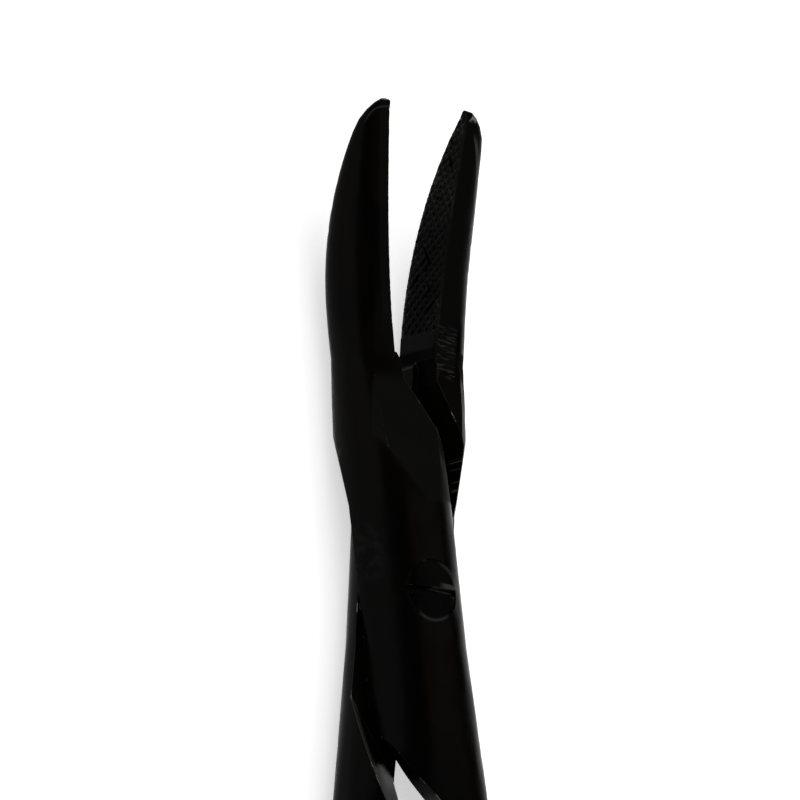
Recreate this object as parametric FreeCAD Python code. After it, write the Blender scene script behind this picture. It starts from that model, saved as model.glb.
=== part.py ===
import FreeCAD, Part
import math
import os

# Needle holder with curved jaws: two forgings lapped over each other and joined by one slotted screw.
# It lies on its back. The pivot axis is the Z axis, +Y points to the jaw tips and +X to the right,
# and the jaws curve up, towards +Z. Each half is shaped with the jaws closed and then turned open.
# Sizes are in millimetres and degrees.

V = FreeCAD.Vector

# Opening at rest
rest_opening = 11.2
closed_jaw_gap = 0.10

# Lap joint
joint_width = 9.8
joint_thickness = 7.4
joint_flat_width = 1.0
joint_side_height = 0.4
joint_crown = 0.12
joint_heel_width = 10.2
lap_gap = 0.04
shoulder_gap = 0.15
cheek_crotch_y = 17.8
cheek_lip = 0.25
cheek_lip_height = 0.6
cheek_corner_x = 2.85
cheek_corner_y = 13.4
cheek_side_x = 3.75
cheek_side_y = 11.2
cheek_side_end_y = 7.5
cheek_corner_radius = 8.0
heel_side_y = -9.2
front_heel_crotch = (0.45, -19.0)
front_heel_corner = (-3.4, -15.1)
front_heel_side_y = -12.0
rear_heel_crotch = (0.1, -13.6)
rear_heel_corner = (-2.8, -10.1)
rear_heel_side_y = -9.2
ramp_foot_y = -15.6
ramp_slope_x = 0.57
ramp_slope_y = 0.46
facet_start_y = 7.4
facet_middle_dip = 0.35
facet_middle_rounding = 3.2
root_grind_height = 2.87
root_grind_slope = 0.111
root_grind_turn = 40.0

# Jaws
jaw_start_y = 20.0
jaw_length = 21.4
jaw_bend_radius = 46.0
jaw_width = 4.3
jaw_depth = 4.7
jaw_width_taper = 0.54
jaw_taper_power = 2.5
jaw_round_start = 0.88
jaw_edge_break = 0.2
jaw_corner_share = 0.92
jaw_tip_size = 0.3
jaw_lean = 0.2
jaw_lean_share = 0.4

# Cross-hatched gripping faces
grip_start_y = 22.4
grip_pitch = 1.1
grip_width = 0.9
grip_depth = 0.25
grip_slant = 45.0

# Shanks
shank_start_y = -20.0
shank_inner_x = 0.5
shank_width = 5.1
shank_root_thickness = 6.4
shank_thickness = 5.0
shank_bend_y = -112.0
shank_bend_x = 7.4
shank_neck_length = 20.0
shank_neck_spread = 0.9
shank_turn_length = 18.0
shank_turn_spread = 1.6
shank_end_inset = 2.2
shank_end_share = 0.57

# Finger rings
ring_center_x = 20.6
ring_center_y = -150.0
ring_half_width = 12.2
ring_half_length = 15.6
ring_wire = 4.8
ring_lengths = 20
ring_sides = 16

# Ratchet
ratchet_y = -120.0
ratchet_height = 5.6
ratchet_thickness = 2.4
ratchet_reach = 4.6
ratchet_gap = 0.12
tooth_pitch = 2.3
tooth_depth = 0.9
tooth_count = 3

# Pivot screw
head_diameter = 5.1
head_depth = 1.6
screw_diameter = 3.6
screw_clearance = 0.05
slot_width = 0.6
slot_depth = 0.8

half_joint = joint_thickness / 2
far = 60.0
origin = V(0, 0, 0)
along = V(0, 1, 0)
up = V(0, 0, 1)
across = V(1, 0, 0)
quarter_handle = 0.5523


def quarter_curve(start, corner, end):
    """A quarter of an ellipse that leaves start towards corner and arrives at end."""
    curve = Part.BezierCurve()
    curve.setPoles([
        start,
        start + (corner - start) * quarter_handle,
        end + (corner - end) * quarter_handle,
        end,
    ])
    return curve.toShape()


def bar_section(center, lift, inner, outer, half_depth, roundings, chamfered=()):
    """A rectangle that spans inner to outer along X and half_depth to each side along lift.

    Its corners are rounded, or chamfered, from the upper inner one by way of the outer ones."""
    def point(x, height):
        return center + across * x + lift * height

    (a_x, a_z), (b_x, b_z), (c_x, c_z), (d_x, d_z) = roundings
    corners = [
        ((inner, half_depth), (inner, half_depth - a_z), (inner + a_x, half_depth)),
        ((outer, half_depth), (outer - b_x, half_depth), (outer, half_depth - b_z)),
        ((outer, -half_depth), (outer, c_z - half_depth), (outer - c_x, -half_depth)),
        ((inner, -half_depth), (inner + d_x, -half_depth), (inner, d_z - half_depth)),
    ]
    edges = []
    for number, (corner, start, end) in enumerate(corners):
        following = corners[(number + 1) % 4][1]
        if number in chamfered:
            edges.append(Part.LineSegment(point(*start), point(*end)).toShape())
        else:
            edges.append(quarter_curve(point(*start), point(*corner), point(*end)))
        edges.append(Part.LineSegment(point(*end), point(*following)).toShape())
    return Part.Wire(edges)


def plan_outline(plan, height):
    """Closed outline, at a height, of a plan of (x, y, corner radius)."""
    points = [V(x, y, height) for x, y, radius in plan]
    rounded = []
    for number, point in enumerate(points):
        radius = plan[number][2]
        back = (points[number - 1] - point).normalize()
        ahead = (points[(number + 1) % len(points)] - point).normalize()
        half_angle = back.getAngle(ahead) / 2
        reach = radius / math.tan(half_angle)
        middle = point + (back + ahead).normalize() * (radius / math.sin(half_angle) - radius)
        rounded.append((radius, point + back * reach, middle, point + ahead * reach))
    edges = []
    for number, (radius, start, middle, end) in enumerate(rounded):
        edges.append(Part.LineSegment(rounded[number - 1][3], start).toShape())
        if radius:
            edges.append(Part.Arc(start, middle, end).toShape())
    return Part.Wire(edges)


def tall_prism(plan):
    """A prism over a plan that runs far past both faces of the joint."""
    return Part.Face(plan_outline(plan, -far)).extrude(up * 2 * far)


def turned_over(shape):
    """The shape turned half a turn about the length of the instrument."""
    return shape.rotated(origin, along, 180)


def joint_blank():
    """The joint of both halves as one bar, from the shank roots to the heels of the jaws."""
    crown_z = half_joint + joint_crown
    corner = ((joint_width - joint_flat_width) / 2, crown_z - joint_side_height / 2)
    root_corner = (0.7 * shank_width, 0.85 * shank_root_thickness / 2)
    heel_corner = (jaw_width / 2, jaw_corner_share * jaw_depth / 2)
    middle_y = (facet_start_y + jaw_start_y) / 2
    middle_depth = half_joint - facet_middle_dip
    lower = [
        (shank_start_y, shank_inner_x + shank_width, shank_root_thickness / 2, root_corner),
        (heel_side_y, joint_heel_width / 2, crown_z, corner),
        (heel_side_y / 2, joint_width / 2, crown_z, corner),
        (facet_start_y, joint_width / 2, crown_z, corner),
    ]
    upper = [
        lower[-1],
        (middle_y, (joint_width / 2 + jaw_width) / 2, middle_depth, (facet_middle_rounding, 0.9 * middle_depth)),
        (jaw_start_y, jaw_width, jaw_depth / 2, heel_corner),
    ]
    bars = []
    for stations, straight in ((lower, True), (upper, False)):
        sections = [bar_section(V(0, y, 0), up, -width, width, depth, (rounding,) * 4)
                    for y, width, depth, rounding in stations]
        bars.append(Part.makeLoft(sections, True, straight))
    ground_flat = Part.makeBox(4 * far, 4 * far, joint_thickness, V(-2 * far, -2 * far, -half_joint))
    return bars[0].fuse(bars[1]).common(ground_flat)


def facet_wedge():
    """What the sloping flat between the joint's front face and the jaws takes away."""
    outline = [
        V(-far, facet_start_y, half_joint),
        V(-far, jaw_start_y, jaw_depth / 2),
        V(-far, jaw_start_y, far),
        V(-far, facet_start_y, far),
    ]
    return Part.Face(Part.makePolygon(outline + outline[:1])).extrude(across * 2 * far)


def jaw_root_plan(gap=0):
    """Plan of the right jaw's root, which fits round the upper right edge of the front cheek."""
    return [
        (-closed_jaw_gap / 2, far, 0),
        (-closed_jaw_gap / 2, jaw_start_y, 0),
        (cheek_lip + gap, jaw_start_y - cheek_lip_height, 0),
        (cheek_lip + gap, cheek_crotch_y + gap / 2, 0),
        (cheek_corner_x + gap, cheek_corner_y + gap / 2, cheek_corner_radius),
        (cheek_side_x + gap, cheek_side_y, cheek_corner_radius),
        (cheek_side_x + gap, cheek_side_end_y, 0),
        (joint_width + gap, cheek_side_end_y + cheek_side_x - joint_width, 0),
        (far, cheek_side_end_y + cheek_side_x - joint_width, 0),
        (far, far, 0),
    ]


def beyond_plane(normal, distance):
    """Everything past a plane that lies at a distance from the origin along its normal."""
    space = Part.makeBox(8 * far, 8 * far, 8 * far, V(-4 * far, -4 * far, 0))
    space.Placement = FreeCAD.Placement(normal * distance, FreeCAD.Rotation(up, normal))
    return space


def root_grind():
    """What a slanting grind takes off the outer side of the right jaw's root, in front of the lap."""
    turn = math.radians(root_grind_turn)
    normal = V(math.cos(turn), -root_grind_slope, math.sin(turn)).normalize()
    return beyond_plane(normal, root_grind_height).common(Part.makeBox(far, jaw_start_y, far))


def under_ramp(lift=0):
    """Everything below the ramp that rises from the lap to the outside of the left shank."""
    normal = V(ramp_slope_x, ramp_slope_y, 1).normalize()
    return beyond_plane(-normal, -normal.dot(along * ramp_foot_y) - lift)


def heel_plan(crotch, corner, side_y):
    """Plan of what the front cheek leaves free at its lower left edge, for the left shank."""
    return [
        (shank_inner_x, -far, 0),
        (shank_inner_x, shank_start_y, 0),
        (crotch[0], crotch[1], 0),
        (corner[0], corner[1], cheek_corner_radius),
        (-joint_width / 2, side_y, 0),
        (-far, side_y, 0),
        (-far, -far, 0),
    ]


def joint_half(blank, heel):
    """The front half's share of the joint: its cheek in front, its jaw and shank roots behind."""
    over_ramp = Part.makeBox(far, far, 2 * far, V(shank_inner_x - far, -far, -far))
    half = blank.cut(tall_prism(jaw_root_plan())).cut(tall_prism(heel))
    half = half.cut(under_ramp(shoulder_gap).common(over_ramp))
    pocket = Part.makeBox(2 * far, 2 * far, far + lap_gap / 2, V(-far, -far, -far))
    pocket = pocket.cut(turned_over(tall_prism(jaw_root_plan(shoulder_gap))))
    pocket = pocket.cut(turned_over(under_ramp()))
    return half.cut(pocket).cut(turned_over(root_grind()))


def jaw_place(distance):
    """Point and upward direction on the jaw's spine, an arc that leaves the heel."""
    angle = distance / jaw_bend_radius
    point = V(0, jaw_start_y + jaw_bend_radius * math.sin(angle), jaw_bend_radius * (1 - math.cos(angle)))
    return point, V(0, -math.sin(angle), math.cos(angle))


def jaw_section(share):
    """Section of the right jaw at a share of its length from the heel."""
    past_round = max(0, (share - jaw_round_start) / (1 - jaw_round_start))
    roundness = math.sqrt(1 - past_round ** 2)
    taper = share ** jaw_taper_power
    half_depth = jaw_depth / 2 * (1 - taper) * roundness + jaw_tip_size * share
    width = jaw_width * (1 - jaw_width_taper * taper) * roundness + jaw_tip_size * share
    center, lift = jaw_place(share * jaw_length)
    edge = min(jaw_edge_break, half_depth / 3)
    lean = jaw_lean * min(1, share / jaw_lean_share)
    front = ((0.5 + lean) * width, (jaw_corner_share + lean) * half_depth)
    back = (width / 2, (jaw_corner_share - lean) * half_depth)
    roundings = ((edge, edge), front, back, (edge, edge))
    return bar_section(center, lift, closed_jaw_gap / 2, width, half_depth, roundings, (0, 3))


def grip_grooves():
    """Crossed V grooves for the gripping face of the right jaw, which follow its curved spine."""
    face_x = closed_jaw_gap / 2
    profile = [
        V(face_x + grip_depth, 0, -jaw_depth),
        V(face_x - grip_depth, -grip_width, -jaw_depth),
        V(face_x - grip_depth, grip_width, -jaw_depth),
    ]
    groove = Part.Face(Part.makePolygon(profile + profile[:1])).extrude(up * 2 * jaw_depth)
    zone = Part.makeBox(far, far, far, V(-far / 2, grip_start_y, -far / 2))
    step = grip_pitch / math.sin(math.radians(grip_slant))
    grooves = []
    for number in range(math.ceil(jaw_length / step)):
        distance = number * step
        turn = math.degrees(distance / jaw_bend_radius)
        for slant in (-grip_slant, grip_slant):
            turned = groove.rotated(origin, across, turn + slant)
            clipped = turned.translated(jaw_place(distance)[0]).common(zone)
            if clipped.Solids:
                grooves.append(clipped)
    return grooves


def right_jaw():
    """The rear half's jaw, lofted along its curved spine, with a rounded tip and a cross-hatched face."""
    body = Part.makeLoft([jaw_section(share) for share in (0, 0.2, 0.4, 0.6, 0.75, 0.86)], True)
    tip = Part.makeLoft([jaw_section(share) for share in (0.86, 0.91, 0.95, 0.98, 0.995)], True, True)
    return body.fuse(tip).cut(grip_grooves())


def shank_section(x, y, width, thickness, inner_round, outer_round):
    """Section of the right shank across Y, its corners rounded by shares of its half sizes."""
    inner_corner = (inner_round * width / 2, inner_round * thickness / 2)
    outer_corner = (outer_round * width / 2, outer_round * thickness / 2)
    roundings = (inner_corner, outer_corner, outer_corner, inner_corner)
    return bar_section(V(x, y, 0), up, -width / 2, width / 2, thickness / 2, roundings)


def right_shank():
    """The front half's shank: straight tapers and a bend that meets the finger ring."""
    start_x = shank_inner_x + shank_width / 2
    neck_x = start_x + shank_neck_spread
    neck_y = shank_start_y - shank_neck_length
    middle_x = shank_bend_x + 0.3 * shank_turn_spread
    middle_y = shank_bend_y - shank_turn_length / 2
    turn_x = shank_bend_x + shank_turn_spread
    turn_y = shank_bend_y - shank_turn_length
    ring_x = ring_center_x - ring_half_width + shank_end_inset
    ring_y = ring_center_y + shank_end_share * ring_half_length
    stations = [
        shank_section(start_x, shank_start_y, shank_width, shank_root_thickness, 0.1, 0.8),
        shank_section(neck_x, neck_y, shank_width, 1.06 * shank_thickness, 0.6, 0.8),
        shank_section(shank_bend_x, shank_bend_y, 0.94 * shank_width, shank_thickness, 0.9, 0.9),
        shank_section(middle_x, middle_y, 0.92 * shank_width, shank_thickness, 0.92, 0.92),
        shank_section(turn_x, turn_y, 0.92 * ring_wire, ring_wire, 0.95, 0.95),
        shank_section(ring_x, ring_y, 0.96 * ring_wire, 0.96 * ring_wire, 0.95, 0.95),
    ]
    return Part.makeLoft(stations, True, True).common(turned_over(under_ramp()))


def ring_section(turn):
    """Near-round section of the right finger ring, at a turn in degrees about its middle."""
    angle = math.radians(turn)
    center = V(ring_center_x + ring_half_width * math.cos(angle),
               ring_center_y + ring_half_length * math.sin(angle), 0)
    forward = V(-ring_half_width * math.sin(angle), ring_half_length * math.cos(angle), 0).normalize()
    outward = forward.cross(up)
    rim = []
    for number in range(ring_sides):
        place = 2 * math.pi * number / ring_sides
        rim.append(center + (outward * math.cos(place) + up * math.sin(place)) * (ring_wire / 2))
    return Part.makePolygon(rim + rim[:1])


def finger_ring():
    """The right finger ring, a round bar bent to an oval in short straight lengths."""
    sections = [ring_section(360 * number / ring_lengths) for number in range(ring_lengths)]
    return Part.makeLoft(sections, True, True, True)


def ratchet_arm():
    """The front half's ratchet arm: it reaches past the middle, its teeth facing down."""
    crest = ratchet_gap / 2
    valley = crest + tooth_depth
    top = crest + ratchet_thickness
    profile = [(shank_bend_x, top), (-ratchet_reach, top), (-ratchet_reach, valley)]
    for number in range(tooth_count):
        start = -ratchet_reach + number * tooth_pitch
        profile.append((start + 0.85 * tooth_pitch, crest))
        profile.append((start + tooth_pitch, crest))
        profile.append((start + tooth_pitch, valley))
    profile.append((shank_bend_x, valley))
    front_y = ratchet_y - ratchet_height / 2
    loop = [V(x, front_y, z) for x, z in profile]
    return Part.Face(Part.makePolygon(loop + loop[:1])).extrude(along * ratchet_height)


def screw_bore():
    """The counterbore and running hole for the screw in the front cheek."""
    seat_z = half_joint - head_depth - screw_clearance
    head = Part.makeCylinder(head_diameter / 2 + screw_clearance, far, V(0, 0, seat_z))
    hole = Part.makeCylinder(screw_diameter / 2 + screw_clearance, 2 * far, V(0, 0, -far))
    return head.fuse(hole)


def pivot_screw(blank):
    """The slotted screw, its head dressed to the shape of the joint's front face."""
    head = Part.makeCylinder(head_diameter / 2, far, V(0, 0, half_joint - head_depth))
    body = Part.makeCylinder(screw_diameter / 2, 2 * far, V(0, 0, -far))
    slot = Part.makeBox(head_diameter * 2, slot_width, far,
                        V(-head_diameter, -slot_width / 2, half_joint - slot_depth))
    slot.rotate(origin, up, rest_opening / 2)
    return head.fuse(body).common(blank).cut(slot)


def front_half(blank):
    """Left jaw, front cheek, right shank, ratchet arm and right ring, one forging."""
    half = joint_half(blank, heel_plan(front_heel_crotch, front_heel_corner, front_heel_side_y))
    left_jaw = right_jaw().mirror(origin, across)
    members = [left_jaw, right_shank(), finger_ring(), ratchet_arm()]
    return half.cut(screw_bore()).multiFuse(members).removeSplitter()


def rear_half(blank):
    """Right jaw, rear cheek, left shank, ratchet arm and left ring, one forging."""
    half = joint_half(blank, heel_plan(rear_heel_crotch, rear_heel_corner, rear_heel_side_y))
    members = [right_jaw()]
    for member in (right_shank(), finger_ring(), ratchet_arm()):
        members.append(turned_over(member))
    thread = Part.makeCylinder(screw_diameter / 2, 2 * far, V(0, 0, -far))
    return turned_over(half).cut(thread).multiFuse(members).removeSplitter()


def laid_down(shape, turn):
    """Turn a piece about the pivot and rest the back of the joint on the ground."""
    return shape.rotated(origin, up, turn).translated(up * half_joint)


def build():
    blank = joint_blank()
    blank = blank.cut(facet_wedge()).cut(turned_over(facet_wedge()))
    return {
        "front_half": laid_down(front_half(blank), rest_opening / 2),
        "rear_half": laid_down(rear_half(blank), -rest_opening / 2),
        "pivot_screw": laid_down(pivot_screw(blank), -rest_opening / 2),
    }


os.makedirs("parts", exist_ok=True)
for name, shape in build().items():
    print(name, len(shape.Solids), "solid", len(shape.Faces), "faces", round(shape.Volume, 1), shape.isValid())
    shape.exportStep(f"parts/{name}.step")
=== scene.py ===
import bmesh
import bpy
import math
from mathutils import Matrix, Vector


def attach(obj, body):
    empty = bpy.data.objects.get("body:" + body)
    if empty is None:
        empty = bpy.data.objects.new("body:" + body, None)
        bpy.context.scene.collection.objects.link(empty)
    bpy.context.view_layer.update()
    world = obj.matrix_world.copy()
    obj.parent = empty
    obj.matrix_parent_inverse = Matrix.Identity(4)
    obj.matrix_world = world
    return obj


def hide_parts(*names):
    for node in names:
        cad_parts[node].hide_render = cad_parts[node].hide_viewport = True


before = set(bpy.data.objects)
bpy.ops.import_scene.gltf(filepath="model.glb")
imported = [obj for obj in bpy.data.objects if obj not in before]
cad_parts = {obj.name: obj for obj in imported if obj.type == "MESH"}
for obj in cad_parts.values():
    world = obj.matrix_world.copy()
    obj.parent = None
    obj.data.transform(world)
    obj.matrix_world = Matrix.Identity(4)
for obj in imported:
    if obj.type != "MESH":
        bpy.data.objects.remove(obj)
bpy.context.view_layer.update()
print("frame loaded:", sorted(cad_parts))

shot = {
    "turn": 40.0,          # degrees the camera stands round to the left of the front
    "below": 11.4,         # degrees it stands below the joint, towards the handles
    "lean": 1.8,           # degrees the picture is tilted
    "distance": 1.0,       # metres
    "pixelsPerMetre": 12250.0,
    "pivotPixel": (404.5, 598.0),
    "pivot": (0.0, 0.0, 0.0037),
    "frameSize": 800,
    "clip": (0.05, 20.0),
}


def makeCamera(shot):
    turn, below, lean = (math.radians(shot[key]) for key in ("turn", "below", "lean"))
    right = Vector((math.cos(turn), 0, math.sin(turn)))
    rise = Vector((-math.sin(turn) * math.sin(below), math.cos(below),
                   math.cos(turn) * math.sin(below)))
    back = right.cross(rise)
    leanRight = right * math.cos(lean) - rise * math.sin(lean)
    leanUp = rise * math.cos(lean) + right * math.sin(lean)
    middle = shot["frameSize"] / 2
    offRight = (middle - shot["pivotPixel"][0]) / shot["pixelsPerMetre"]
    offUp = (shot["pivotPixel"][1] - middle) / shot["pixelsPerMetre"]
    aim = Vector(shot["pivot"]) + leanRight * offRight + leanUp * offUp
    data = bpy.data.cameras.new("photoCamera")
    frameWidth = shot["frameSize"] / shot["pixelsPerMetre"]
    data.lens = data.sensor_width * shot["distance"] / frameWidth
    data.clip_start, data.clip_end = shot["clip"]
    camera = bpy.data.objects.new("photoCamera", data)
    turned = Matrix((leanRight, leanUp, back)).transposed().to_4x4()
    camera.matrix_world = Matrix.Translation(aim + back * shot["distance"]) @ turned
    bpy.context.scene.collection.objects.link(camera)
    bpy.context.scene.camera = camera


makeCamera(shot)
bpy.context.scene.view_settings.view_transform = "Standard"
print("camera in place")


class Wire:                                   # a node socket that can be used in plain sums
    def __init__(self, bench, socket):
        self.bench, self.socket = bench, socket

    def sum(self, operation, *terms):
        return self.bench.put("ShaderNodeMath", {"operation": operation}, dict(enumerate(terms)))

    def __add__(self, other): return self.sum("ADD", self, other)
    def __radd__(self, other): return self.sum("ADD", other, self)
    def __sub__(self, other): return self.sum("SUBTRACT", self, other)
    def __rsub__(self, other): return self.sum("SUBTRACT", other, self)
    def __mul__(self, other): return self.sum("MULTIPLY", self, other)
    def __rmul__(self, other): return self.sum("MULTIPLY", other, self)
    def __truediv__(self, other): return self.sum("DIVIDE", self, other)
    def __pow__(self, other): return self.sum("POWER", self, other)
    def __abs__(self): return self.sum("ABSOLUTE", self)

    def sine(self): return self.sum("SINE", self)

    def cosine(self): return self.sum("COSINE", self)

    def root(self): return self.sum("SQRT", self)

    def upTo(self, other): return self.sum("MINIMUM", self, other)

    def atLeast(self, other): return self.sum("MAXIMUM", self, other)

    def rise(self, low, high):                # 0 at low, 1 at high, smooth between
        settings = {"interpolation_type": "SMOOTHSTEP", "clamp": True}
        inputs = {"Value": self, "From Min": low, "From Max": high}
        return self.bench.put("ShaderNodeMapRange", settings, inputs)

    def drop(self, low, high):                # 1 at low, 0 at high
        return 1 - self.rise(low, high)

    def near(self, center, half, soft):       # 1 within half of center, 0 beyond half + soft
        return abs(self - center).drop(half, half + soft)


class Bench:                                  # the nodes of one material, world or node group
    def __init__(self, name, tree=None):
        self.material = None
        if tree is None:
            self.material = bpy.data.materials.new(name)
            self.material.use_nodes = True
            tree = self.material.node_tree
        self.tree = tree
        self.tree.nodes.clear()

    def put(self, kind, settings=None, inputs=None, output=0):
        node = self.tree.nodes.new(kind)
        for key, value in (settings or {}).items():
            setattr(node, key, value)
        for key, value in (inputs or {}).items():
            if isinstance(value, Wire):
                self.tree.links.new(value.socket, node.inputs[key])
            else:
                node.inputs[key].default_value = value
        return Wire(self, node.outputs[output]) if node.outputs else node

    def outputs(self, kind):                  # every output of a new node, by name
        node = self.put(kind).socket.node
        return {socket.name: Wire(self, socket) for socket in node.outputs}

    def blend(self, share, first, second):    # mixes two colours
        inputs = {0: share, 6: first, 7: second}
        return self.put("ShaderNodeMix", {"data_type": "RGBA"}, inputs, 2)

    def grain(self, place, scale, detail=3.0, roughness=0.5):
        inputs = {"Vector": place, "Scale": scale, "Detail": detail, "Roughness": roughness}
        return self.put("ShaderNodeTexNoise", None, inputs, "Fac")

    def vector(self, x=0.0, y=0.0, z=0.0):
        return self.put("ShaderNodeCombineXYZ", None, {0: x, 1: y, 2: z})

    def axes(self, place):
        split = self.put("ShaderNodeSeparateXYZ", None, {0: place})
        outputs = split.socket.node.outputs
        return [Wire(self, outputs[axis]) for axis in range(3)]


millimetres = 1000                            # in a metre
lapHeight = 3.7                               # mm, of the plane where the two halves meet
halfOpening = 5.6                             # degrees each half stands open in the photo

blackCoat = {
    "deep": (0.0006, 0.0006, 0.0006, 1),
    "brown": (0.0024, 0.0016, 0.0008, 1),     # heat tint; on the front flat partly a painted reflection
    "satin": (0.0036, 0.0035, 0.0032, 1),     # matt where it was ground last
    "thinCoatAndPaintedLight": (0.040, 0.038, 0.034, 1),         # where the coating is rubbed thin, and where light is painted on
    "steel": (0.42, 0.40, 0.36, 1),           # bare metal, also laid on as painted glints
    "gloss": 0.42,                            # specular level of the coating
    "index": 1.10,                            # its index of refraction, low as it is so dark
    "roughness": (0.20, 0.36),
    "roughPatches": (0.3, 0.7),
    "satinRoughness": 0.22,
    "mattRoughness": 0.5,
    "metalness": 0.85,                        # of the bare metal
    "bumpStrength": 0.25,
    "grainDepth": 0.000005,
    "cloudRelief": 0.5,
    "cloud": (260, 4),                        # each grain's scale and detail
    "smudge": (90, 2),
    "fine": (3200, 2, 0.6),
    "chips": (900, 3),
    "haze": (140, 2),
    "edgeRadius": 0.00012,
    "edgeSamples": 6,
    "edgeTurn": (0.012, 0.10),
    "thinPatches": (0.40, 0.66),
    "thinShare": 0.5,
    "chipPatches": (0.60, 0.70),
    "chipShare": 0.5,
    "hazePatches": (0.62, 0.80),
    "hazeShare": 0.3,
    "brownPatches": (0.35, 0.70),
    "brownShare": 0.5,
}


class Coat:                                   # the black coating of one piece, with its wear and the light painted onto it
    def __init__(self, name, coat, turn):
        bench = self.bench = Bench(name)
        self.coat = coat
        self.place = bench.put("ShaderNodeTexCoord", None, None, "Object")
        x, y, z = (axis * millimetres for axis in bench.axes(self.place))
        cosTurn, sinTurn = math.cos(math.radians(turn)), math.sin(math.radians(turn))
        self.x = x * cosTurn - y * sinTurn    # as the piece lies when the jaws are closed
        self.y = y * cosTurn + x * sinTurn
        self.z = z - lapHeight
        self.cloud = bench.grain(self.place, *coat["cloud"])
        smudge = bench.grain(self.place, *coat["smudge"])
        fine = bench.grain(self.place, *coat["fine"])
        chips = bench.grain(self.place, *coat["chips"])
        haze = bench.grain(self.place, *coat["haze"])
        radius = {"Radius": coat["edgeRadius"]}
        self.rounded = bench.put("ShaderNodeBevel", {"samples": coat["edgeSamples"]}, radius)
        surface = bench.put("ShaderNodeNewGeometry", None, None, "Normal")
        normals = {0: self.rounded, 1: surface}
        facing = bench.put("ShaderNodeVectorMath", {"operation": "DOT_PRODUCT"}, normals, "Value")
        self.edge = (1 - facing).rise(*coat["edgeTurn"])
        self.thinCoatAndPaintedLight = self.edge * self.cloud.rise(*coat["thinPatches"]) * coat["thinShare"]
        self.bareAndGlints = self.edge * chips.rise(*coat["chipPatches"]) * coat["chipShare"]
        self.satin = haze.rise(*coat["hazePatches"]) * coat["hazeShare"]
        self.brown = smudge.rise(*coat["brownPatches"]) * coat["brownShare"]
        self.lumps = fine + self.cloud * coat["cloudRelief"]
        self.matt = 0

    def strokes(self, lengthwise, crosswise, low, high):      # short scratches across the jaw
        place = self.bench.vector(self.x * crosswise, self.y * lengthwise)
        return self.bench.grain(place, 1.0, 2).rise(low, high)

    def finish(self):
        coat, bench = self.coat, self.bench
        tone = bench.blend(self.brown.upTo(1), coat["deep"], coat["brown"])
        tone = bench.blend(self.satin.upTo(1), tone, coat["satin"])
        tone = bench.blend(self.thinCoatAndPaintedLight.upTo(1), tone, coat["thinCoatAndPaintedLight"])
        metal = self.bareAndGlints.upTo(1)
        tone = bench.blend(metal, tone, coat["steel"])
        low, high = coat["roughness"]
        rough = low + (high - low) * self.cloud.rise(*coat["roughPatches"])
        rough = rough + self.satin.upTo(1) * coat["satinRoughness"]
        rough = rough + self.matt * coat["mattRoughness"]
        bumps = bench.put("ShaderNodeBump", None, {
            "Strength": coat["bumpStrength"], "Distance": coat["grainDepth"],
            "Height": self.lumps, "Normal": self.rounded})
        shader = bench.put("ShaderNodeBsdfPrincipled", None, {
            "Base Color": tone, "Metallic": metal * coat["metalness"], "Roughness": rough,
            "Normal": bumps, "Specular IOR Level": coat["gloss"], "IOR": coat["index"]})
        bench.put("ShaderNodeOutputMaterial", None, {"Surface": shader})
        return bench.material


frontMarks = {                                # in mm, as the piece lies with the jaws closed
    "facetSlope": 1.35,                       # the ground facet beside the jaw's root
    "facetEdge": (7.8, 8.6),                  # two values: where a mark rises or drops
    "facetStart": (7.3, 7.6),
    "facetEnd": (17.0, 19.0),
    "facetHeight": (2.4, 2.6),
    "facetSatin": 0.9,
    "flatHeight": (3.45, 3.66),               # the flat along the front: brown heat tint, partly a painted reflection
    "flatBand": (-0.2, 1.4, 0.8),             # three values: center, half width, soft edge
    "flatTintAndReflection": 0.9,
    "jawBand": (-0.6, 0.5, 0.3),
    "jawBandStart": (20, 24),
    "jawBandSatin": 0.6,
    "tipMiddle": -0.6,                        # the light line round the tip
    "tipCurve": 0.18,
    "tipLine": (39.9, 0.03, 0.09),
    "tipHeight": (4.0, 4.3),
    "tipSide": (-2.7, -2.2),
    "tipStart": (38.0, 38.8),
    "tipThin": 0.35,
    "heelPoint": (0.45, -19.0),               # the cut wall below the joint, made lighter as painted light
    "heelNormal": (0.711, 0.702),
    "heelWidth": (0.03, 0.08),
    "heelEnd": (-17.2, -16.4),
    "heelPaintedLight": 0.8,
    "rimSide": (0.6, 2.2),                    # the cheek's rim beside the right jaw: painted highlight, with bare chips
    "rimStart": (7.0, 9.5),
    "rimHighlight": 0.6,
    "rimPatches": (0.45, 0.6),
    "rimBare": 0.25,
    "dentBand": (3.6, 1.6, 1.2),              # the pitted patch on the left
    "dentSide": (-4.2, -3.6),
    "dentGrain": (1500, 3),
    "dentPatches": (0.42, 0.62),
    "dentSatin": 0.8,
    "dentRelief": 9,
    "boreSquare": (8.0, 9.5),                 # square of the distance from the pivot's axis; painted shade in the countersink
    "boreStart": (-2.2, -1.2),
    "boreThin": 0.85,
    "boreBare": 0.9,
}


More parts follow.
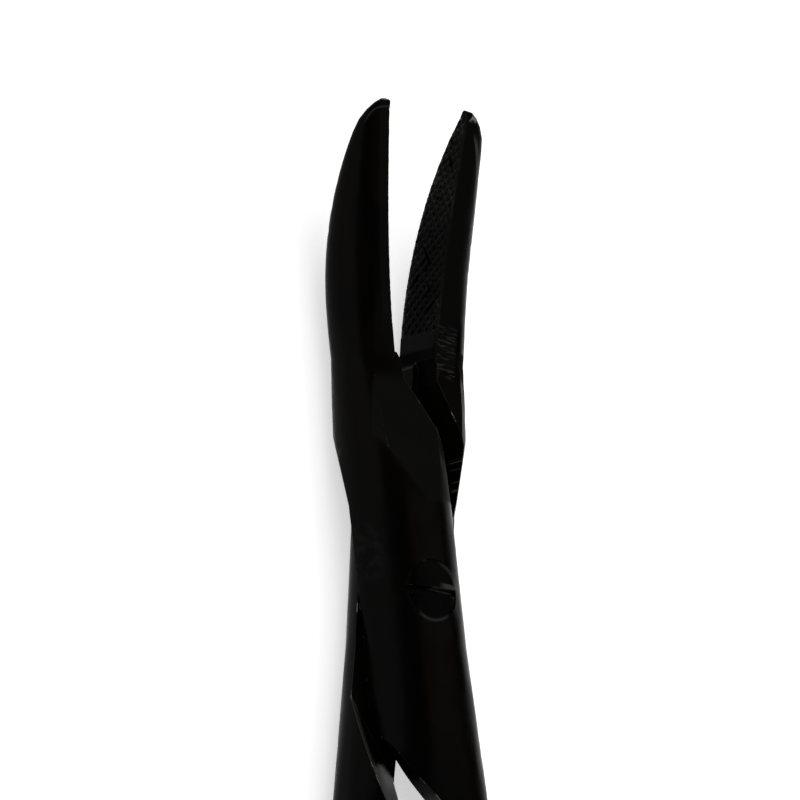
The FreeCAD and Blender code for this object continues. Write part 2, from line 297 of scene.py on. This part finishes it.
def frontCoatMaterial(marks):
    coat = Coat("frontCoat", blackCoat, -halfOpening)
    facet = (coat.y + coat.x * marks["facetSlope"]).rise(*marks["facetEdge"])
    facet = facet * coat.y.rise(*marks["facetStart"]) * coat.y.drop(*marks["facetEnd"])
    facet = facet * coat.z.rise(*marks["facetHeight"])
    flat = coat.z.rise(*marks["flatHeight"]) * coat.x.near(*marks["flatBand"])
    jawBand = coat.x.near(*marks["jawBand"]) * coat.y.rise(*marks["jawBandStart"])
    fromTip = abs(coat.x - marks["tipMiddle"])
    tipLine = coat.y + fromTip * fromTip * fromTip * marks["tipCurve"]
    tipLine = tipLine.near(*marks["tipLine"]) * coat.z.rise(*marks["tipHeight"])
    tipLine = tipLine * coat.x.rise(*marks["tipSide"]) * coat.y.rise(*marks["tipStart"])
    heelX, heelY = marks["heelPoint"]
    normalX, normalY = marks["heelNormal"]
    # painted light: the whole cut wall below the joint is made lighter
    heelWall = abs((coat.x - heelX) * normalX + (coat.y - heelY) * normalY)
    heelWall = heelWall.drop(*marks["heelWidth"]) * coat.y.drop(*marks["heelEnd"])
    # painted highlight along the cheek's rounded rim, with bare chips
    cheekRim = coat.edge * coat.x.rise(*marks["rimSide"]) * coat.y.rise(*marks["rimStart"])
    pits = coat.bench.grain(coat.place, *marks["dentGrain"]).rise(*marks["dentPatches"])
    dents = coat.y.near(*marks["dentBand"]) * coat.x.drop(*marks["dentSide"]) * pits
    # painted shade: wear taken out of the countersink's upper half
    bore = (coat.x * coat.x + coat.y * coat.y).drop(*marks["boreSquare"])
    bore = bore * coat.y.rise(*marks["boreStart"])
    # painted reflection on the front flat, over the heat tint
    coat.brown = coat.brown.atLeast(flat * marks["flatTintAndReflection"])
    coat.satin = coat.satin + facet * marks["facetSatin"] + jawBand * marks["jawBandSatin"]
    coat.satin = coat.satin + dents * marks["dentSatin"]
    coat.lumps = coat.lumps + dents * marks["dentRelief"]
    coat.thinCoatAndPaintedLight = coat.thinCoatAndPaintedLight + tipLine * marks["tipThin"] + heelWall * marks["heelPaintedLight"]
    coat.thinCoatAndPaintedLight = (coat.thinCoatAndPaintedLight + cheekRim * marks["rimHighlight"]) * (1 - bore * marks["boreThin"])
    coat.bareAndGlints = coat.bareAndGlints + cheekRim * coat.cloud.rise(*marks["rimPatches"]) * marks["rimBare"]
    coat.bareAndGlints = coat.bareAndGlints * (1 - bore * marks["boreBare"])
    return coat.finish()


rearMarks = {
    "gripFace": (0.05, 0.35, 0.05),           # the cross-hatched face
    "gripStart": (22.2, 22.5),
    "gripSatin": 0.35,
    "gripBare": 0.8,
    "jawBand": (1.2, 0.9, 0.4),
    "jawBandStart": (18, 20),
    "jawBandSatin": 0.5,
    "grindHeight": (2.2, 2.4),                # scratches at the jaw's root
    "grindLength": (20.6, 1.9, 0.5),
    "grindBand": (1.3, 0.8, 0.4),
    "grindStrokes": (5.0, 0.9, 0.54, 0.63),   # along, across, where they rise
    "grindThin": 0.32,
    "tickLength": (10.9, 1.3, 0.4),           # light ticks on the right edge
    "tickSide": (3.2, 3.4),
    "tickHeight": (0.5, 0.8),
    "tickStrokes": (5.5, 0.6, 0.52, 0.60),
    "tickBare": 0.25,
    "heelTop": (-9.4, -8.6),                  # rubbed edges below the joint, also a painted highlight on the heel's crest
    "heelEnd": (-19.5, -18.5),
    "heelPaintedLight": 1.2,
    "glintSteel": 0.6,
    # painted glints: two spots on the heel's edges, laid on as bare steel
    "glints": ((-15.15, 0.12, 0.15), (-16.3, 0.15, 0.2)),
    "outside": -5.1,                          # the ramp's outer edge, which bends from here
    "bendStart": -12.0,
    "bendCurve": 0.068,
    "rampStart": -15.6,
    "rampSlope": (0.57, 0.46),
    "rampLine": (0.0, 0.03, 0.03),
    "rampWidth": (0.4, 1.0),
    "rampEnd": (-16.0, -15.2),
    "rampHighlight": 0.34,
    "recessTop": (20.7, 21.1),                # the hollow between the jaws' roots, kept dark as painted shade
    "recessStart": (8, 9),
    "recessHeight": (2.2, 2.4),
    "recessSide": (-0.2, 0),
    "recessThin": 0.7,
    "recessBare": 0.5,
    "tipStart": (39.6, 40.1),
    "tipGrain": (1700, 2),
    "tipPatches": (0.55, 0.62),
    "tipBare": 0.5,
    "stripSide": 3.25,                        # painted highlight: the light strip along the jaw's outer edge
    "stripBendStart": 24.65,
    "stripBendLength": 12.85,
    "stripPower": 3.8,
    "stripReach": 1.4,
    "stripBand": (0.12, 0.16, 0.12),
    "stripStart": (22, 26),
    "stripEnd": (38, 39),
    "stripHeight": (1.5, 1.8),
    "stripHighlight": 0.25,
    "stripTip": (28, 34),
    "stripTipHighlight": 0.45,
}


def rearCoatMaterial(marks):
    coat = Coat("rearCoat", blackCoat, halfOpening)
    grip = coat.x.near(*marks["gripFace"]) * coat.y.rise(*marks["gripStart"])
    jawBand = coat.x.near(*marks["jawBand"]) * coat.y.rise(*marks["jawBandStart"])
    grind = coat.z.rise(*marks["grindHeight"]) * coat.y.near(*marks["grindLength"])
    grind = grind * coat.x.near(*marks["grindBand"]) * coat.strokes(*marks["grindStrokes"])
    ticks = coat.y.near(*marks["tickLength"]) * coat.x.rise(*marks["tickSide"])
    ticks = ticks * coat.z.rise(*marks["tickHeight"]) * coat.strokes(*marks["tickStrokes"])
    heel = coat.y.drop(*marks["heelTop"]) * coat.y.rise(*marks["heelEnd"])
    glintAbove, glintBelow = (coat.y.near(*glint) for glint in marks["glints"])
    pastBend = (marks["bendStart"] - coat.y).atLeast(0)
    fromOutside = coat.x - marks["outside"] - pastBend * pastBend * marks["bendCurve"]
    slopeX, slopeY = marks["rampSlope"]
    ramp = coat.z + coat.x * slopeX + (coat.y - marks["rampStart"]) * slopeY
    # painted highlight: a bright line along the ramp
    rampBand = ramp.near(*marks["rampLine"]) * heel * fromOutside.drop(*marks["rampWidth"])
    rampBand = rampBand * coat.y.rise(*marks["rampEnd"])
    # painted shade: the hollow's wear is taken out and it is made matt
    recess = coat.y.drop(*marks["recessTop"]) * coat.y.rise(*marks["recessStart"])
    recess = recess * coat.z.drop(*marks["recessHeight"]) * coat.x.rise(*marks["recessSide"])
    tipSpecks = coat.bench.grain(coat.place, *marks["tipGrain"]).rise(*marks["tipPatches"])
    tipSpecks = coat.y.rise(*marks["tipStart"]) * tipSpecks
    # painted highlight along the jaw's outer edge
    stripBend = ((coat.y - marks["stripBendStart"]) / marks["stripBendLength"]).atLeast(0)
    strip = coat.x - marks["stripSide"] + stripBend ** marks["stripPower"] * marks["stripReach"]
    strip = strip.near(*marks["stripBand"]) * coat.y.rise(*marks["stripStart"])
    strip = strip * coat.y.drop(*marks["stripEnd"]) * coat.z.rise(*marks["stripHeight"])
    stripTip = coat.y.rise(*marks["stripTip"]) * marks["stripTipHighlight"]
    coat.satin = coat.satin + grip * marks["gripSatin"] + jawBand * marks["jawBandSatin"]
    coat.thinCoatAndPaintedLight = coat.thinCoatAndPaintedLight + grind * marks["grindThin"] + rampBand * marks["rampHighlight"]
    # rubbed heel edges, lightened further as a painted highlight
    coat.thinCoatAndPaintedLight = coat.thinCoatAndPaintedLight + heel * coat.edge * marks["heelPaintedLight"]
    coat.thinCoatAndPaintedLight = coat.thinCoatAndPaintedLight * (1 - recess * marks["recessThin"])
    coat.thinCoatAndPaintedLight = coat.thinCoatAndPaintedLight + strip * (stripTip + marks["stripHighlight"])
    coat.bareAndGlints = coat.bareAndGlints + ticks * marks["tickBare"] + tipSpecks * marks["tipBare"]
    # painted glints on the heel's edges, as bare steel
    coat.bareAndGlints = coat.bareAndGlints + heel * coat.edge * (glintAbove + glintBelow) * marks["glintSteel"]
    coat.bareAndGlints = coat.bareAndGlints * (1 - recess * marks["recessBare"]) * (1 - grip * marks["gripBare"])
    coat.matt = recess
    return coat.finish()


screwMarks = {
    "rimRadius": (2.2, 2.4),                  # two painted highlight arcs on the head's rim
    "lowArcTop": (-2.2, -1.4),
    "lowArcSide": (-1.6, -0.8),
    "highArcStart": (2.6, 3.2),
    "highArcShare": 0.7,
    "rimHighlight": 0.35,
    "wedgeSide": (0.5, 1.4),                  # painted highlight: the bright wedge above the slot
    "wedgeBand": (0.58, 0.18, 0.14),
    "wedgeHeight": (3.0, 3.2),
    "wedgeHighlight": 0.7,
    "lipBand": (0.31, 0.05, 0.05),            # the slot's worn lip
    "lipSide": (-0.4, 0.6),
    "lipBare": 0.06,
    "thinLeft": 0.2,                          # shares left of the coating's own wear
    "bareLeft": 0.1,
    "pitGrain": (1500, 3),
    "pitPatches": (0.45, 0.65),
    "pitRelief": 4,
}


def screwCoatMaterial(marks):
    coat = Coat("screwCoat", blackCoat, halfOpening)
    fromAxis = (coat.x * coat.x + coat.y * coat.y).root()
    lowArc = coat.y.drop(*marks["lowArcTop"]) * coat.x.rise(*marks["lowArcSide"])
    highArc = (coat.x + coat.y).rise(*marks["highArcStart"]) * marks["highArcShare"]
    # painted highlight arcs on the head's rim
    rim = fromAxis.rise(*marks["rimRadius"]) * lowArc.atLeast(highArc)
    # painted highlight: the bright wedge above the slot
    wedge = coat.x.rise(*marks["wedgeSide"]) * coat.y.near(*marks["wedgeBand"])
    wedge = wedge * coat.z.rise(*marks["wedgeHeight"])
    slotLip = coat.y.near(*marks["lipBand"]) * coat.x.rise(*marks["lipSide"])
    pits = coat.bench.grain(coat.place, *marks["pitGrain"]).rise(*marks["pitPatches"])
    coat.thinCoatAndPaintedLight = coat.thinCoatAndPaintedLight * marks["thinLeft"] + rim * marks["rimHighlight"] + wedge * marks["wedgeHighlight"]
    coat.bareAndGlints = coat.bareAndGlints * marks["bareLeft"] + slotLip * marks["lipBare"]
    coat.lumps = coat.lumps + pits * marks["pitRelief"]
    return coat.finish()


frontCoat = frontCoatMaterial(frontMarks)
rearCoat = rearCoatMaterial(rearMarks)
screwCoat = screwCoatMaterial(screwMarks)
print("coatings made")


gripLines = {                                 # one jaw's cross-hatched face, in metres
    "Pitch": 0.00066,
    "Groove Width": 0.00054,
    "Groove Depth": 0.00020,
    "Zone Start": 0.0024,                     # along the jaw, from its heel
    "Reach": 0.0034,                          # of a groove, from the jaw's middle line
    "Heel": 0.0200,
    "Bend Radius": 0.0460,
    "Height": 0.0037,
}
gripLineCount = 27
gripSlant = math.radians(45)
gripFace = 0.00005                            # metres from the closed jaws' middle plane


def gripTree():
    tree = bpy.data.node_groups.new("gripGrooves", "GeometryNodeTree")
    bench = Bench("gripGrooves", tree)
    tree.interface.new_socket("Geometry", in_out="OUTPUT", socket_type="NodeSocketGeometry")
    tree.interface.new_socket("Geometry", in_out="INPUT", socket_type="NodeSocketGeometry")
    for name in list(gripLines) + ["Face", "Turn"]:
        tree.interface.new_socket(name, in_out="INPUT", socket_type="NodeSocketFloat")
    tree.interface.new_socket("Material", in_out="INPUT", socket_type="NodeSocketMaterial")
    size = bench.outputs("NodeGroupInput")
    index = bench.put("GeometryNodeInputIndex")
    step = size["Pitch"] / math.sin(gripSlant)
    firstLine = size["Zone Start"] - size["Reach"] * math.sin(gripSlant)
    along = firstLine + (index + 0.5) * step
    spine = along / size["Bend Radius"]
    middleY = size["Heel"] + size["Bend Radius"] * spine.sine()
    middleZ = size["Bend Radius"] * (1 - spine.cosine())
    keep = size["Reach"].upTo((along - size["Zone Start"]) / math.sin(gripSlant))
    side = size["Groove Depth"] * math.sqrt(2)
    bar = bench.put("GeometryNodeMeshCube", None, {"Size": bench.vector(side, side, 1.0)})
    bar = bench.put("GeometryNodeTransform", None, {
        "Geometry": bar, "Rotation": (0, 0, math.radians(45))})
    spread = size["Groove Width"] / (size["Groove Depth"] * 2)
    bar = bench.put("GeometryNodeTransform", None, {
        "Geometry": bar, "Scale": bench.vector(1.0, spread, 1.0)})
    grooves = bench.put("GeometryNodeJoinGeometry")
    joined = grooves.socket.node.inputs[0]
    for way in (1, -1):                       # the two crossing rows
        tilt = spine + way * gripSlant
        shift = (keep - size["Reach"]) * (way / 2)
        points = bench.put("GeometryNodePoints", None, {
            "Count": gripLineCount,
            "Position": bench.vector(
                size["Face"], middleY - tilt.sine() * shift, middleZ + tilt.cosine() * shift)})
        bars = bench.put("GeometryNodeInstanceOnPoints", None, {
            "Points": points,
            "Instance": bar,
            "Rotation": bench.vector(tilt),
            "Scale": bench.vector(1.0, 1.0, keep + size["Reach"])})
        tree.links.new(bars.socket, joined)
    placed = bench.put("GeometryNodeTransform", None, {
        "Geometry": grooves,
        "Translation": bench.vector(z=size["Height"]),
        "Rotation": bench.vector(z=size["Turn"])})
    cut = bench.put("GeometryNodeMeshBoolean", {"operation": "DIFFERENCE", "solver": "EXACT"}, {
        "Mesh 1": size["Geometry"], "Mesh 2": placed})
    whole = bench.put("GeometryNodeRealizeInstances", None, {"Geometry": cut})
    done = bench.put("GeometryNodeSetMaterial", None, {
        "Geometry": whole, "Material": size["Material"]})
    bench.put("NodeGroupOutput", None, {"Geometry": done})
    return tree


def cutGrip(piece, tree, face, turn, material):
    modifier = piece.modifiers.new("gripGrooves", "NODES")
    modifier.node_group = tree
    values = dict(gripLines, Face=face, Turn=math.radians(turn), Material=material)
    for socket in tree.interface.items_tree:
        if socket.in_out == "INPUT" and socket.name in values:
            modifier[socket.identifier] = values[socket.name]
    evaluated = piece.evaluated_get(bpy.context.evaluated_depsgraph_get())
    mesh = bpy.data.meshes.new_from_object(evaluated)
    piece.modifiers.remove(modifier)
    piece.data = mesh
    print(piece.name, "grooved,", len(mesh.polygons), "faces")


jawFace = {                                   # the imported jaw's gripping face, in mm
    "heel": 20.0,
    "bendRadius": 46.0,
    "length": 21.4,
    "gripStart": 22.38,
    "cornerShare": 0.88,                      # of the length, where the tip starts to round
    "rootHalf": 2.35,
    "taperPower": 2.5,
    "tipHalf": 0.3,
    "bevel": 0.2,
    "plane": 0.05,                            # from the closed jaws' middle plane
    "grooveDepth": 0.25,
    "slack": 0.0005,
}


def levelCoarseGrip(work, side, turn):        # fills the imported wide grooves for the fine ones
    jaw = jawFace
    cosTurn, sinTurn = math.cos(math.radians(turn)), math.sin(math.radians(turn))
    moved = 0
    for vert in work.verts:
        x, y, z = (axis * millimetres for axis in vert.co)
        closedX = side * (x * cosTurn - y * sinTurn)
        closedY = y * cosTurn + x * sinTurn
        fromArc = Vector((closedY - jaw["heel"], jaw["bendRadius"] - (z - lapHeight)))
        share = jaw["bendRadius"] * math.atan2(fromArc.x, fromArc.y) / jaw["length"]
        if closedY < jaw["gripStart"] or share > 1:
            continue
        pastRound = max(0.0, (share - jaw["cornerShare"]) / (1 - jaw["cornerShare"]))
        half = jaw["rootHalf"] * (1 - share ** jaw["taperPower"])
        half = half * math.sqrt(max(0.0, 1 - pastRound ** 2)) + jaw["tipHalf"] * share
        fromRim = half - abs(jaw["bendRadius"] - fromArc.length)
        level = max(0.0, min(jaw["bevel"], half / 3) - fromRim)
        depth = closedX - jaw["plane"]
        inGroove = jaw["slack"] < depth < jaw["grooveDepth"] + jaw["slack"]
        if inGroove and depth > level + jaw["slack"]:
            closedX = side * (jaw["plane"] + level)
            vert.co.x = (closedX * cosTurn + closedY * sinTurn) / millimetres
            vert.co.y = (closedY * cosTurn - closedX * sinTurn) / millimetres
            moved += 1
    print("levelled", moved, "points")


meshing = {                                   # metres and degrees
    "weld": 1e-6,
    "sliver": 1e-7,
    "levelledWeld": 2e-6,
    "jawStart": 0.0205,
    "flatAngle": 0.4,
    "sharpAngle": 24.0,
    "gripStart": 0.0215,
    "gripReach": 0.0055,
    "gripFlat": 4e-7,                         # square metres
}


def smoothCopy(nodeName, pieceName, material, side=0, turn=0.0):
    work = bmesh.new()
    work.from_mesh(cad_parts[nodeName].data)
    bmesh.ops.remove_doubles(work, verts=work.verts, dist=meshing["weld"])
    bmesh.ops.dissolve_degenerate(work, edges=work.edges, dist=meshing["sliver"])
    if side:
        levelCoarseGrip(work, side, turn)
        bmesh.ops.remove_doubles(work, verts=work.verts, dist=meshing["levelledWeld"])
        bmesh.ops.dissolve_degenerate(work, edges=work.edges, dist=meshing["levelledWeld"])
        start = meshing["jawStart"]
        jaw = [face for face in work.faces if face.calc_center_median().y > start]
        edges = list(dict.fromkeys(edge for face in jaw for edge in face.edges))
        verts = list(dict.fromkeys(vert for face in jaw for vert in face.verts))
        limit = math.radians(meshing["flatAngle"])
        bmesh.ops.dissolve_limit(work, angle_limit=limit, verts=verts, edges=edges)
        bmesh.ops.triangulate(work, faces=[face for face in work.faces if len(face.verts) > 3])
    print(nodeName, "open edges:", sum(1 for edge in work.edges if not edge.is_manifold))
    mesh = bpy.data.meshes.new(pieceName)
    work.to_mesh(mesh)
    work.free()
    for name in [item.name for item in mesh.attributes if "normal" in item.name]:
        mesh.attributes.remove(mesh.attributes[name])
    mesh.materials.clear()
    mesh.materials.append(material)
    for face in mesh.polygons:
        face.material_index = 0
    piece = bpy.data.objects.new(pieceName, mesh)
    bpy.context.scene.collection.objects.link(piece)
    return piece


def finishPiece(piece, nodeName, body):
    for face in piece.data.polygons:          # smooth, apart from the gripping faces' small flats
        onJaw = face.center.y > meshing["gripStart"]
        inside = abs(face.center.x) < meshing["gripReach"]
        face.use_smooth = not (onJaw and inside and face.area < meshing["gripFlat"])
    piece.data.set_sharp_from_angle(angle=math.radians(meshing["sharpAngle"]))
    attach(piece, body)
    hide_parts(nodeName)
    print(piece.name, len(piece.data.polygons), "faces")


gripGrooves = gripTree()
frontPiece = smoothCopy("front_half", "frontHalf", frontCoat, -1, -halfOpening)
cutGrip(frontPiece, gripGrooves, -gripFace, halfOpening, frontCoat)
finishPiece(frontPiece, "front_half", "front")
rearPiece = smoothCopy("rear_half", "rearHalf", rearCoat, 1, halfOpening)
cutGrip(rearPiece, gripGrooves, gripFace, -halfOpening, rearCoat)
finishPiece(rearPiece, "rear_half", "rear")
screwPiece = smoothCopy("pivot_screw", "pivotScrew", screwCoat)
finishPiece(screwPiece, "pivot_screw", "rear")

studio = {
    "window": 1.5,          # soft wall on the left, seen in the black coating
    "windowEdge": (0.42, 0.72),
    "rightGlow": 0.75,      # dim patch high on the right
    "glowAim": (0.62, 0.2, 0.76),
    "glowEdge": (0.955, 0.995),
    "dusk": 0.04,           # the rest of the room
    "horizon": 0.5,         # pale band where the room meets the floor
    "horizonEdge": (0.02, 0.16),
    "daylight": 0.80,       # what lights the paper and everything matt, from all round
    "floorColour": (0.84, 0.84, 0.84, 1),
    "floorWhite": 0.50,     # added where the camera or a reflection sees the floor
    "floorReach": 4.0,
    "floorDrop": 0.00005,
    "lamps": [              # name, place, aim, size, watts
        ("keyLamp", (-0.55, 0.45, 0.95), (0, 0, 0), 0.80, 2.2),
        ("fillLamp", (0.70, -0.10, 0.95), (0, 0, 0), 0.80, 1.2),
    ],
}


def makeWorld(studio):
    world = bpy.data.worlds.new("studioWorld")
    world.use_nodes = True
    bpy.context.scene.world = world
    bench = Bench("studioWorld", world.node_tree)
    direction = bench.put("ShaderNodeTexCoord", None, None, "Generated")
    rightward, forward, upward = bench.axes(direction)
    paths = bench.outputs("ShaderNodeLightPath")
    camera, mirrored = paths["Is Camera Ray"], paths["Is Glossy Ray"]
    window = (0 - rightward).rise(*studio["windowEdge"]) * studio["window"]
    aimRight, aimForward, aimUp = studio["glowAim"]
    glow = rightward * aimRight + forward * aimForward + upward * aimUp
    glow = glow.rise(*studio["glowEdge"]) * studio["rightGlow"]
    horizon = upward.drop(*studio["horizonEdge"]) * studio["horizon"]
    room = window.atLeast(glow).atLeast(horizon).atLeast(studio["dusk"])
    level = mirrored * room + (1 - mirrored) * studio["daylight"]
    light = bench.put("ShaderNodeBackground", None, {
        "Color": (1, 1, 1, 1), "Strength": level.atLeast(camera)})
    bench.put("ShaderNodeOutputWorld", None, {"Surface": light})


def makeFloor(studio):
    bench = Bench("floorPaper")
    paths = bench.outputs("ShaderNodeLightPath")
    seen = paths["Is Camera Ray"].atLeast(paths["Is Glossy Ray"])
    seen = seen.atLeast(paths["Is Transmission Ray"])
    paper = bench.put("ShaderNodeBsdfDiffuse", None, {"Color": studio["floorColour"]})
    glow = bench.put("ShaderNodeEmission", None, {"Strength": seen * studio["floorWhite"]})
    both = bench.put("ShaderNodeAddShader", None, {0: paper, 1: glow})
    bench.put("ShaderNodeOutputMaterial", None, {"Surface": both})
    mesh = bpy.data.meshes.new("floor")
    reach = studio["floorReach"]
    corners = [(-reach, -reach, 0), (reach, -reach, 0), (reach, reach, 0), (-reach, reach, 0)]
    mesh.from_pydata(corners, [], [(0, 1, 2, 3)])
    mesh.materials.append(bench.material)
    floor = bpy.data.objects.new("floor", mesh)
    bpy.context.scene.collection.objects.link(floor)
    floor.location.z = -studio["floorDrop"]


def makeLamps(studio):
    for name, place, aim, size, watts in studio["lamps"]:
        data = bpy.data.lights.new(name, "AREA")
        data.shape = "DISK"
        data.size = size
        data.energy = watts
        lamp = bpy.data.objects.new(name, data)
        lamp.visible_glossy = False           # the black coating shows the room, not the lamps
        lamp.location = place
        lamp.rotation_mode = "QUATERNION"
        lamp.rotation_quaternion = (Vector(aim) - Vector(place)).to_track_quat("-Z", "Y")
        bpy.context.scene.collection.objects.link(lamp)


makeWorld(studio)
makeFloor(studio)
makeLamps(studio)
print("studio lit")
